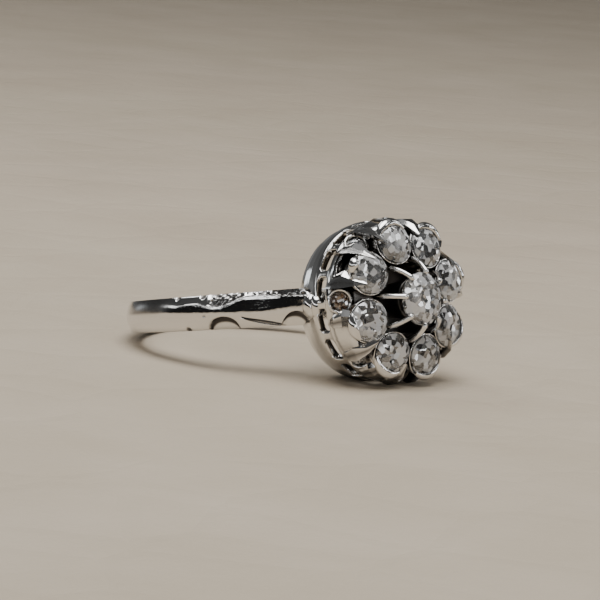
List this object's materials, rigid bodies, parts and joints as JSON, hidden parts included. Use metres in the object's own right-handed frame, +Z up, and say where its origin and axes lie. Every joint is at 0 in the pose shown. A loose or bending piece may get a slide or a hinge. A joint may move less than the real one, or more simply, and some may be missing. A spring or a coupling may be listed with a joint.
{
  "type": "cluster ring",
  "caption": "Daisy cluster finger ring: raised centre stone in a ring of old-cut stones, claws, pierced gallery, carved shoulders on a plain white metal shank.",
  "frame": {"origin": "on the surface that the ring lies on, under the middle of its length", "axes": "+Z up; the ring lies on its side with the head towards -Y, so the finger hole's axis leans 11.9 degrees from +Z towards +Y; +X runs across the shank"},
  "size_m": [0.0198, 0.0256, 0.0114],
  "materials": {
    "white_metal": "polished white gold",
    "diamond": "old cut, faceted and polished",
    "accent_diamond": "small old cut, faceted and polished"
  },
  "bodies": {
    "root": {"mount": "white_metal", "centre_stone": "diamond", "outer_stone_1": "diamond", "outer_stone_2": "diamond", "outer_stone_3": "diamond", "outer_stone_4": "diamond", "outer_stone_5": "diamond", "outer_stone_6": "diamond", "outer_stone_7": "diamond", "outer_stone_8": "diamond", "accent_stone_1": "accent_diamond", "accent_stone_2": "accent_diamond", "accent_stone_3": "accent_diamond", "accent_stone_4": "accent_diamond", "accent_stone_5": "accent_diamond", "accent_stone_6": "accent_diamond", "accent_stone_7": "accent_diamond", "accent_stone_8": "accent_diamond"}
  },
  "joints": []
}
